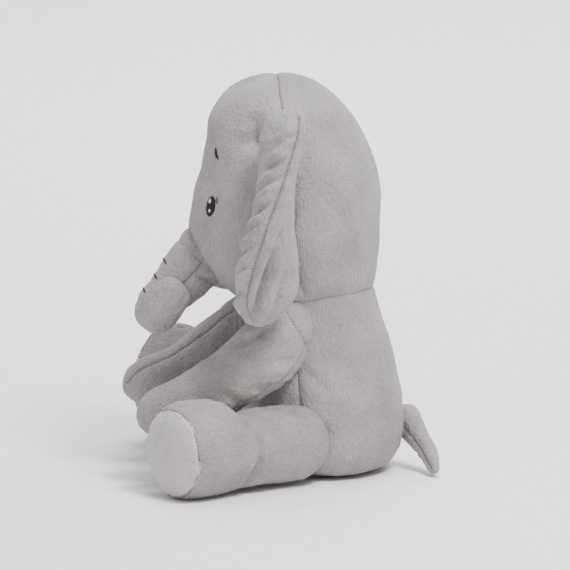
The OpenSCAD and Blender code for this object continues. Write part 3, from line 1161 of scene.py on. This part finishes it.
@dataclass
class Trunk:
    """The hanging trunk, whose tip is folded back up along its left side."""

    pitch: float = 142.0
    root_radius: float = 0.0290
    end_radius: float = 0.0212
    fold_at: Triple = (0.0265, 0.001, 0.0245)
    fold_turn: Pair = (3.0, -6.0)
    marks: Triple = (0.020, 0.038, 0.056)
    mark_spread: float = 32.0
    mark_bow: float = 1.2 * MM
    mark_radius: float = 0.95 * MM

    def build(self) -> None:
        """Makes the trunk, its fold, its stitches and its marks."""
        place = Matrix.Translation(joint_place("trunk_lift")) @ turned(self.pitch, 0)
        r, e = self.root_radius, self.end_radius
        sections = [
            [-0.034, 0, -0.005, 0, 0],
            [-0.026, 0, -0.005, 0.66 * r, 0.70 * r],
            [-0.012, 0, -0.005, 0.96 * r, 0.98 * r],
            [0.004, 0, -0.0055, r, 0.98 * r],
            [0.022, 0, -0.0045, 0.93 * r, 0.92 * r],
            [0.044, 0, -0.002, 0.84 * r, 0.81 * r],
            [0.062, 0.001, 0.000, e, e],
            [0.075, 0.004, -0.001, 0.90 * e, 0.88 * e],
            [0.083, 0.007, -0.002, 0.62 * e, 0.62 * e],
            [0.0865, 0.008, -0.003, 0, 0],
        ]
        relief = [
            LongSeam(2, -0.02, 0.085, gather=0.6 * MM, pitch=8 * MM, seed=8),
            LongSeam(178, -0.02, 0.085, gather=0.6 * MM, pitch=8 * MM, seed=9),
            RoundSeam(-0.004, depth=0.9 * MM),
            Wrinkles(-0.01, 0.07, -30, 0.04, along=13 * MM, apart=30 * MM, depth=2.0 * MM, seed=33),
            Fold((0.004, -60), (0.012, 10), depth=3.0 * MM, width=3.5 * MM),
            Stuffing(size=24 * MM, lump=1.5 * MM, seed=17),
            Pile(),
        ]
        skin = Skin(
            "trunk_skin",
            "trunk",
            ["trunk_top_panel", "trunk_under_panel", "trunk_stuffing"],
            sections,
            place,
            relief,
            cells_round=220,
            cells_along=150,
        )
        obj = skin.build()
        fold = self.build_fold(place)
        paths = [skin.seam_path(2, -0.004, 0.03), skin.seam_path(178, -0.004, 0.080)]
        paths.append(fold.seam_path(90, 0.012, 0.050))
        sew("trunk_stitches", "trunk", paths)
        self.mark(BVHTree.FromObject(obj, bpy.context.evaluated_depsgraph_get()), place)

    def build_fold(self, place: Matrix) -> Skin:
        """Makes the tip that is folded back up.

        Args:
            place: The trunk's placement.

        Returns:
            The fold's skin.
        """
        pitch, roll = self.fold_turn
        turn = Euler((math.radians(pitch), math.radians(roll), 0)).to_matrix().to_4x4()
        tip = place @ Matrix.Translation(self.fold_at) @ turn
        sections = [
            [0.000, 0, 0, 0, 0],
            [0.003, 0, 0, 0.0075, 0.0125],
            [0.010, 0, 0, 0.0120, 0.0190],
            [0.022, 0, 0, 0.0136, 0.0212],
            [0.036, 0, 0, 0.0136, 0.0212],
            [0.048, -0.002, -0.001, 0.0128, 0.0190],
            [0.057, -0.005, -0.002, 0.0095, 0.0135],
            [0.0620, -0.006, -0.002, 0, 0],
        ]
        relief = [
            LongSeam(90, 0.004, 0.058, gather=0.5 * MM, pitch=7 * MM, reach=8 * MM, seed=10),
            Wrinkles(0.0, 0.05, -20, 0.02, along=22 * MM, apart=9 * MM, depth=1.1 * MM, seed=35),
            Stuffing(size=20 * MM, lump=1.2 * MM, seed=19),
            Pile(),
        ]
        skin = Skin(
            "trunk_fold_skin",
            "trunk",
            ["trunk_fold_top_panel", "trunk_fold_under_panel", "trunk_fold_stuffing"],
            sections,
            tip,
            relief,
            cells_round=120,
            cells_along=100,
            fill=0.7,
        )
        skin.build()
        return skin

    def mark(self, tree: BVHTree, place: Matrix) -> None:
        """Sews the three marks across the top of the trunk.

        Args:
            tree: The trunk's surface.
            place: The trunk's placement.
        """
        points, faces = [], []
        rings, sides = 25, 10
        for at in self.marks:
            start = len(points)
            for i in range(rings):
                share = 2 * i / (rings - 1) - 1
                turn = math.radians(90 - share * self.mark_spread)
                ray = Vector((math.cos(turn), math.sin(turn), 0))
                begin = place @ (ray * 60 * MM + Vector((0, 0, at + self.mark_bow * share * share)))
                out = place.to_3x3() @ ray
                hit, _, _, _ = tree.ray_cast(begin, -out)
                along = (place.to_3x3() @ Vector((-ray.y, ray.x, 0))).normalized()
                down = out.cross(along)
                thin = self.mark_radius * math.sqrt(max(0.02, 1 - share**4))
                for k in range(sides):
                    a = 2 * math.pi * k / sides
                    rise = 0.15 * MM + 0.9 * thin * math.sin(a)
                    points.append(hit + out * rise + down * thin * math.cos(a))
            for i, k in itertools.product(range(rings - 1), range(sides)):
                a, b = start + i * sides + k, start + i * sides + (k + 1) % sides
                faces.append((a, b, b + sides, a + sides))
            faces.append(tuple(start + k for k in reversed(range(sides))))
            faces.append(tuple(start + (rings - 1) * sides + k for k in range(sides)))
        obj = link_mesh("trunk_mark_stitches", np.array(points), faces)
        dress(obj, DARK_THREAD)
        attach(obj, "trunk")
        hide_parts("trunk_marks")
        LOG.info("trunk marks on trunk")


@dataclass
class EarSkin(Skin):
    """An ear: a broad flap on an upright root, bulged in front, twisted from its top to its foot."""

    tall: float = 0.108
    wide: float = 0.093
    front: float = 0.0260
    back: float = 0.0130
    lobe: float = 0.0110
    lean: float = 0.0080
    twist: Triple = (20.0, -12.0, -37.0)

    def half(self, at: np.ndarray) -> np.ndarray:
        """Half the flap's width at each height.

        Args:
            at: Heights from the middle of the ear.

        Returns:
            Half widths.
        """
        share = np.clip(np.abs(at) / self.tall, 0, 1)
        return self.wide / 2 * np.sqrt(np.maximum(1 - share**3.8, 0))

    def oval(self, at: np.ndarray) -> np.ndarray:
        """The section at each height, as rows of shift x, shift y, half width and half thickness.

        Args:
            at: Heights from the middle of the ear.

        Returns:
            The rows.
        """
        half = self.half(at)
        share = np.clip(np.abs(at) / self.tall, 0, 1)
        thin = (self.front + self.back) / 2 * np.sqrt(np.maximum(1 - share**9, 0))
        zero = np.zeros_like(half)
        return np.stack([zero + self.wide / 2 - 0.005, zero, half, thin], axis=1)

    def surface(self, at: np.ndarray, angle: np.ndarray) -> np.ndarray:
        """The smooth flap before any relief, in the ear's own axes.

        Args:
            at: Heights from the middle of the ear.
            angle: Angles round it in degrees: 0 is the rim and -90 the front.

        Returns:
            A grid of points, rings by columns.
        """
        rows = self.oval(at)[:, None, :]
        turn = np.radians(angle)[None, :]
        cos, sin = np.cos(turn), np.sin(turn)
        x = rows[..., 0] + rows[..., 2] * np.sign(cos) * np.abs(cos) ** 0.9
        share = rows[..., 3] / ((self.front + self.back) / 2)
        high = np.broadcast_to(at[:, None], x.shape)
        level = np.clip(high / self.tall, -1, 1)
        rear = self.back + self.lobe * bell(level + 0.55, 0.35)
        y = np.where(sin < 0, self.front, rear) * share * np.sign(sin) * np.abs(sin) ** 0.8
        reach = x / self.wide
        y = y - 0.004 * reach**2 - self.lean * np.maximum(level, 0)
        top, middle, foot = self.twist
        bend = np.where(level > 0, middle + (top - middle) * level, middle + (middle - foot) * level)
        a = np.radians(bend)
        return np.stack([x * np.cos(a) - y * np.sin(a), x * np.sin(a) + y * np.cos(a), high], axis=-1)

    def poles(self) -> tuple[np.ndarray, np.ndarray]:
        """The lowest and the highest point of the flap."""
        ends = self.surface(np.array([-self.tall, self.tall]), np.array([0.0]))
        return ends[0, 0], ends[1, 0]


@dataclass
class Ear:
    """One ear with its rim seam."""

    side: Side
    flare: float = 0.0
    drop: float = 0.0
    root: Triple = (0.0875, -0.047, 0.276)
    tilt: float = 5.0

    @staticmethod
    def rim_folds() -> list[Fold]:
        """The short folds that run in from the rim seam, all the way down the ear.

        Returns:
            The folds, from the top.
        """
        folds = []
        for k in range(8):
            high, odd = 0.086 - 0.022 * k, k % 2
            end = (high - 0.016 + 0.004 * odd, -52 - 9 * (k % 3))
            folds.append(Fold((high, -6), end, depth=3.4 * MM, width=3.6 * MM, bow=(2 - 4 * odd) * MM))
        return folds

    def build(self) -> None:
        """Makes the ear and its stitches."""
        letter, seed = self.side.letter, self.side.value
        root = Matrix.Translation(Vector(self.root) - Vector((0, 0, self.drop)))
        flare = Matrix.Rotation(math.radians(-self.flare), 4, "Z")
        place = mirrored(root @ flare @ Matrix.Rotation(math.radians(-self.tilt), 4, "Y"), self.side)
        relief = [
            LongSeam(
                0,
                -0.104,
                0.104,
                depth=2.6 * MM,
                width=2.0 * MM,
                gather=3.4 * MM,
                pitch=10 * MM,
                reach=19 * MM,
                seed=40 + seed,
            ),
            Wrinkles(-0.12, 0.04, 50, 0.050, along=60 * MM, apart=10 * MM, depth=5.0 * MM, seed=42 + seed),
            Wrinkles(-0.11, 0.11, -40, 0.045, along=13 * MM, apart=34 * MM, depth=3.6 * MM, seed=45 + seed),
            Fold((-0.104, 22), (-0.004, 52), depth=6.0 * MM, width=4.5 * MM, bow=-4 * MM),
            Fold((-0.108, 60), (-0.020, 84), depth=6.0 * MM, width=4.5 * MM, bow=3 * MM),
            Fold((-0.100, 100), (-0.030, 112), depth=4.5 * MM, width=4.5 * MM),
            Fold((0.020, 30), (0.092, 66), depth=3.0 * MM, width=4.5 * MM, bow=3 * MM),
            *self.rim_folds(),
            Wrinkles(-0.11, 0.11, -50, 0.045, along=45 * MM, apart=12 * MM, depth=2.4 * MM, seed=48 + seed),
            Stuffing(size=26 * MM, lump=2.2 * MM, seed=21 + seed),
            Pile(),
        ]
        tall = EarSkin.tall
        skin = EarSkin(
            f"ear_skin_{letter}",
            f"ear_{letter}",
            [f"ear_{letter}_{part}" for part in ("front_panel", "back_panel", "batting", "hem")],
            [[-tall, 0, 0, 0, 0], [tall, 0, 0, 0, 0]],
            place,
            relief,
            cells_round=200,
            cells_along=210,
            fill=0.5,
        )
        skin.build()
        sew(f"ear_stitches_{letter}", f"ear_{letter}", [skin.seam_path(0, -0.105, 0.105)])


@dataclass
class Arm:
    """One stuffed arm, seamed along its top and its underside."""

    side: Side
    pitch: float
    yaw: float
    slim: float = 1.0
    seam: float = -58.0

    def build(self) -> None:
        """Makes the arm and its stitches."""
        letter = self.side.letter
        shoulder = joint_place("arm_l_raise")
        place = mirrored(Matrix.Translation(shoulder) @ turned(self.pitch, self.yaw), self.side)
        sections = [
            [-0.034, -0.020, 0.009, 0, 0],
            [-0.029, -0.019, 0.007, 0.0080, 0.0150],
            [-0.016, -0.016, 0.003, 0.0160, 0.0260],
            [0.004, -0.009, -0.002, 0.0230, 0.0320],
            [0.030, -0.002, -0.0045, 0.0280, 0.0345],
            [0.055, 0, -0.0065, 0.0285, 0.0330],
            [0.085, -0.001, -0.0080, 0.0270, 0.0295],
            [0.110, -0.002, -0.0070, 0.0260, 0.0268],
            [0.135, -0.003, -0.0040, 0.0258, 0.0262],
            [0.154, -0.004, -0.0020, 0.0218, 0.0225],
            [0.166, -0.004, -0.0015, 0.0130, 0.0135],
            [0.1710, -0.004, -0.0015, 0, 0],
        ]
        relief = [
            LongSeam(self.seam, -0.02, 0.165, gather=1.6 * MM, pitch=9 * MM, reach=16 * MM, seed=50),
            LongSeam(self.seam + 180, -0.02, 0.165, gather=1.2 * MM, pitch=9 * MM, seed=51),
            RoundSeam(-0.015, depth=1.2 * MM, gather=1.2 * MM, reach=16 * MM, seed=54),
            Fold((0.000, -50), (0.040, 10), depth=2.6 * MM, width=4 * MM, bow=3 * MM),
            Fold((0.008, 40), (0.052, 75), depth=2.2 * MM, width=4 * MM, bow=-3 * MM),
            Fold((0.020, -95), (0.054, -20), depth=2.2 * MM, width=3.5 * MM, bow=4 * MM),
            Fold((0.070, -70), (0.084, 5), depth=1.8 * MM, width=4.5 * MM, bow=3 * MM),
            Wrinkles(0.06, 0.135, -50, 0.022, along=15 * MM, apart=26 * MM, depth=2.2 * MM, seed=52),
            Wrinkles(-0.02, 0.06, 20, 0.030, along=34 * MM, apart=13 * MM, depth=1.8 * MM, seed=53),
            Stuffing(size=30 * MM, lump=1.7 * MM, seed=24 + self.side.value),
            Pile(),
        ]
        skin = Skin(
            f"arm_skin_{letter}",
            f"arm_{letter}",
            [f"arm_{letter}_{part}" for part in ("outer_panel", "inner_panel", "stuffing")],
            [[*row[:4], self.slim * row[4]] for row in sections],
            place,
            relief,
            cells_round=240,
            cells_along=200,
        )
        skin.build()
        paths = [skin.seam_path(self.seam, -0.014, 0.166), skin.seam_path(self.seam + 180, -0.01, 0.166)]
        root = skin.ring_path(-0.015)
        outer = list(range(-len(root[0]) // 6, len(root[0]) // 4))
        paths.append((root[0][outer], root[1][outer]))
        sew(f"arm_stitches_{letter}", f"arm_{letter}", paths)


@dataclass
class Leg:
    """One stuffed leg with a bulged foot and its paler sole."""

    side: Side
    lift: float
    splay: float

    def build(self) -> None:
        """Makes the leg, its sole and its stitches."""
        letter = self.side.letter
        hip = joint_place("leg_l_splay")
        place = mirrored(Matrix.Translation(hip) @ turned(90 - self.lift, self.splay), self.side)
        sections = [
            [-0.040, 0, 0.000, 0, 0],
            [-0.033, 0, 0.000, 0.0200, 0.0200],
            [-0.018, 0, 0.000, 0.0330, 0.0330],
            [0.000, 0, -0.001, 0.0385, 0.0385],
            [0.030, 0, -0.001, 0.0395, 0.0390],
            [0.054, 0, -0.002, 0.0390, 0.0380],
            [0.072, 0, -0.0035, 0.0380, 0.0365],
            [0.086, 0, 0.002, 0.0425, 0.0440],
            [0.105, 0, 0.005, 0.0470, 0.0495],
            [0.125, 0, 0.005, 0.0480, 0.0495],
            [0.140, 0, 0.004, 0.0470, 0.0478],
            [0.1465, 0, 0.003, 0.0450, 0.0455],
            [0.1475, 0, 0.003, 0.0420, 0.0420],
            [0.1480, 0, 0.003, 0, 0],
        ]
        relief = [
            LongSeam(-90, -0.02, 0.142, gather=1.2 * MM, seed=60),
            LongSeam(90, -0.02, 0.142, gather=1.4 * MM, seed=61),
            RoundSeam(0.1455, depth=1.0 * MM, gather=1.6 * MM, reach=10 * MM, seed=62),
            Fold((0.078, -58), (0.068, 40), depth=4.2 * MM, width=4.5 * MM, bow=6 * MM),
            Fold((0.064, -50), (0.056, 10), depth=2.2 * MM, width=3.5 * MM, bow=4 * MM),
            Fold((0.088, 100), (0.080, 34), depth=3.4 * MM, width=4.5 * MM, bow=-7 * MM),
            Fold((0.128, 104), (0.100, 46), depth=2.6 * MM, width=4.5 * MM, bow=7 * MM),
            Fold((0.100, 20), (0.132, -14), depth=1.6 * MM, width=6 * MM, bow=4 * MM),
            Fold((0.074, 122), (0.072, 200), depth=3.2 * MM, width=4 * MM, bow=-4 * MM),
            Fold((0.004, 50), (0.046, 96), depth=2.4 * MM, width=5 * MM, bow=4 * MM),
            Fold((0.020, 30), (0.060, 66), depth=1.8 * MM, width=4.5 * MM, bow=-3 * MM),
            Wrinkles(0.0, 0.07, 20, 0.04, along=24 * MM, apart=16 * MM, depth=1.8 * MM, seed=63),
            Stuffing(size=36 * MM, lump=1.9 * MM, seed=27 + self.side.value),
            Pile(),
        ]
        skin = Skin(
            f"leg_skin_{letter}",
            f"leg_{letter}",
            [f"leg_{letter}_{part}" for part in ("outer_panel", "inner_panel", "stuffing")],
            sections,
            place,
            relief,
            cells_round=300,
            cells_along=190,
        )
        skin.build()
        self.build_sole(place)
        paths = [skin.seam_path(-90, 0.0, 0.144), skin.seam_path(90, 0.0, 0.144), skin.ring_path(0.1462)]
        sew(f"leg_stitches_{letter}", f"leg_{letter}", paths)

    def build_sole(self, place: Matrix) -> None:
        """Makes the round sole, sewn into the end of the leg.

        Args:
            place: The leg's placement.
        """
        letter = self.side.letter
        sections = [
            [0.1380, 0, 0.003, 0, 0],
            [0.1385, 0, 0.003, 0.0300, 0.0300],
            [0.1440, 0, 0.003, 0.0440, 0.0442],
            [0.1475, 0, 0.003, 0.0442, 0.0444],
            [0.1505, 0, 0.003, 0.0400, 0.0400],
            [0.1535, 0, 0.003, 0.0300, 0.0300],
            [0.1555, 0, 0.003, 0, 0],
        ]
        relief = [
            RoundSeam(0.1468, depth=1.0 * MM, gather=0.6 * MM, pitch=7 * MM, reach=8 * MM, seed=64),
            Stuffing(size=30 * MM, lump=0.8 * MM, seed=29 + self.side.value),
            Pile(tuft=2.2 * MM),
        ]
        Skin(
            f"sole_skin_{letter}",
            f"leg_{letter}",
            [f"leg_{letter}_sole"],
            sections,
            place,
            relief,
            finish=SOLE_PLUSH,
            slot="sole_plush",
            cells_round=260,
            cells_along=90,
            fill=0.7,
        ).build()


@dataclass
class Tail:
    """The short tail, which bends down and to the left."""

    pitch: float = -118.0
    yaw: float = -50.0

    def build(self) -> None:
        """Makes the tail and its stitches."""
        place = Matrix.Translation(joint_place("tail_wag")) @ turned(self.pitch, self.yaw)
        sections = [
            [-0.016, 0, 0.000, 0, 0],
            [-0.012, 0, 0.000, 0.0090, 0.0115],
            [0.000, 0.001, 0.000, 0.0125, 0.0175],
            [0.014, 0.003, 0.001, 0.0105, 0.0155],
            [0.030, 0.007, 0.002, 0.0090, 0.0120],
            [0.046, 0.0095, 0.004, 0.0085, 0.0105],
            [0.058, 0.014, 0.0055, 0.0082, 0.0098],
            [0.067, 0.0185, 0.006, 0.0068, 0.0080],
            [0.073, 0.021, 0.006, 0.0040, 0.0048],
            [0.0755, 0.0215, 0.006, 0, 0],
        ]
        relief = [
            LongSeam(0, -0.01, 0.07, gather=0.5 * MM, pitch=6 * MM, reach=7 * MM, width=1.0 * MM, seed=70),
            LongSeam(180, -0.01, 0.07, gather=0.5 * MM, pitch=6 * MM, reach=7 * MM, width=1.0 * MM, seed=71),
            Fold((0.034, 40), (0.040, 130), depth=2.0 * MM, width=2.6 * MM),
            Fold((0.022, -50), (0.026, 50), depth=1.2 * MM, width=2.6 * MM),
            Stuffing(size=18 * MM, lump=0.5 * MM, seed=37),
            Pile(),
        ]
        skin = Skin(
            "tail_skin",
            "tail",
            ["tail_top_panel", "tail_under_panel", "tail_stuffing"],
            sections,
            place,
            relief,
            cells_round=110,
            cells_along=110,
            fill=0.6,
        )
        skin.build()
        sew("tail_stitches", "tail", [skin.seam_path(angle, -0.002, 0.071) for angle in (0, 180)])


# ---- Studio ------------------------------------------------------------------------------------------


@dataclass
class Studio:
    """A pale floor, a white sky, soft lamps and the camera."""

    azimuth: float = 85.0
    elevation: float = 10.7
    away: float = 24.0
    look_at: Triple = (0.0, -0.038, 0.186)
    view_width: float = 0.570
    sky_strength: float = 0.62
    floor_size: float = 12.0
    floor_drop: float = 0.6 * MM

    def build(self) -> None:
        """Sets up the floor, the sky, the lamps and the camera."""
        self.lay_floor()
        self.light_sky()
        self.add_lamp("key_lamp", (1.2, 0.7, 2.2), size=0.7, watts=75.0)
        self.add_lamp("top_lamp", (-0.3, 0.2, 2.4), size=1.2, watts=40.0)
        self.add_lamp("face_lamp", (0.9, -1.8, 1.0), size=1.6, watts=5.0)
        self.add_lamp("floor_lamp", (-2.3, 0.3, 1.5), size=2.2, watts=60.0, target=(-2.3, 0.1, 0.0))
        self.point_camera()

    def lay_floor(self) -> None:
        """Lays the plain floor."""
        bpy.ops.object.select_all(action="DESELECT")
        bpy.ops.mesh.primitive_plane_add(size=self.floor_size, location=(0, 0, -self.floor_drop))
        floor = bpy.context.object
        floor.name = "studio_floor"
        nodes = Nodes("floor_paint")
        grain = nodes.noise(nodes.place(), 40.0, 2.0)
        colour = nodes.ramp(grain, (0.90, 0.90, 0.90), (0.92, 0.92, 0.92), (0.3, 0.7))
        nodes.set(Base_Color=colour, Roughness=0.9)
        floor.data.materials.append(nodes.material)

    def light_sky(self) -> None:
        """Makes the sky an even white."""
        world = bpy.data.worlds.new("studio_sky")
        world.use_nodes = True
        sky = world.node_tree.nodes["Background"]
        sky.inputs["Color"].default_value = (1.0, 1.0, 1.0, 1.0)
        sky.inputs["Strength"].default_value = self.sky_strength
        bpy.context.scene.world = world

    def add_lamp(
        self, name: str, place: Triple, size: float, watts: float, target: Triple | None = None
    ) -> None:
        """Adds one soft lamp.

        Args:
            name: The lamp's name.
            place: Where it hangs.
            size: The width of its square face.
            watts: Its power.
            target: What it points at, or None for the toy.
        """
        lamp = bpy.data.lights.new(name, "AREA")
        lamp.size = size
        lamp.energy = watts
        obj = bpy.data.objects.new(name, lamp)
        bpy.context.scene.collection.objects.link(obj)
        obj.location = place
        ray = Vector(target or self.look_at) - Vector(place)
        obj.rotation_euler = ray.to_track_quat("-Z", "Y").to_euler()

    def point_camera(self) -> None:
        """Adds the camera, a long lens at the toy's left side."""
        lens = bpy.data.cameras.new("studio_camera")
        lens.sensor_width = 36.0
        lens.lens = lens.sensor_width * self.away / self.view_width
        camera = bpy.data.objects.new("studio_camera", lens)
        bpy.context.scene.collection.objects.link(camera)
        a, e = math.radians(self.azimuth), math.radians(self.elevation)
        back = Vector((math.sin(a) * math.cos(e), -math.cos(a) * math.cos(e), math.sin(e)))
        camera.location = Vector(self.look_at) + back * self.away
        camera.rotation_euler = (-back).to_track_quat("-Z", "Y").to_euler()
        bpy.context.scene.camera = camera


def write_sizes() -> None:
    """Defines a helper that turns a box into plain lists; writes nothing.
    """

    def plain(box: tuple) -> list[list[float]]:
        """A box as plain lists."""
        return [[round(float(v), 5) for v in corner] for corner in box]


def main() -> None:
    """Builds the toy and its studio, unit by unit."""
    logging.basicConfig(level=logging.INFO, format="%(name)s: %(message)s")
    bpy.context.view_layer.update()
    units: list[Callable[[], object]] = [
        Torso().build,
        Head().build,
        Trunk().build,
        Ear(Side.LEFT).build,
        Ear(Side.RIGHT, flare=20.0, drop=0.010).build,
        Arm(Side.LEFT, pitch=121.0, yaw=-5.0).build,
        Arm(Side.RIGHT, pitch=118.5, yaw=-6.0, slim=0.92).build,
        Leg(Side.LEFT, lift=0.0, splay=31.0).build,
        Leg(Side.RIGHT, lift=10.0, splay=36.0).build,
        Tail().build,
    ]
    for build in units:
        build()
    Studio().build()
    write_sizes()


if __name__ == "__main__":
    main()
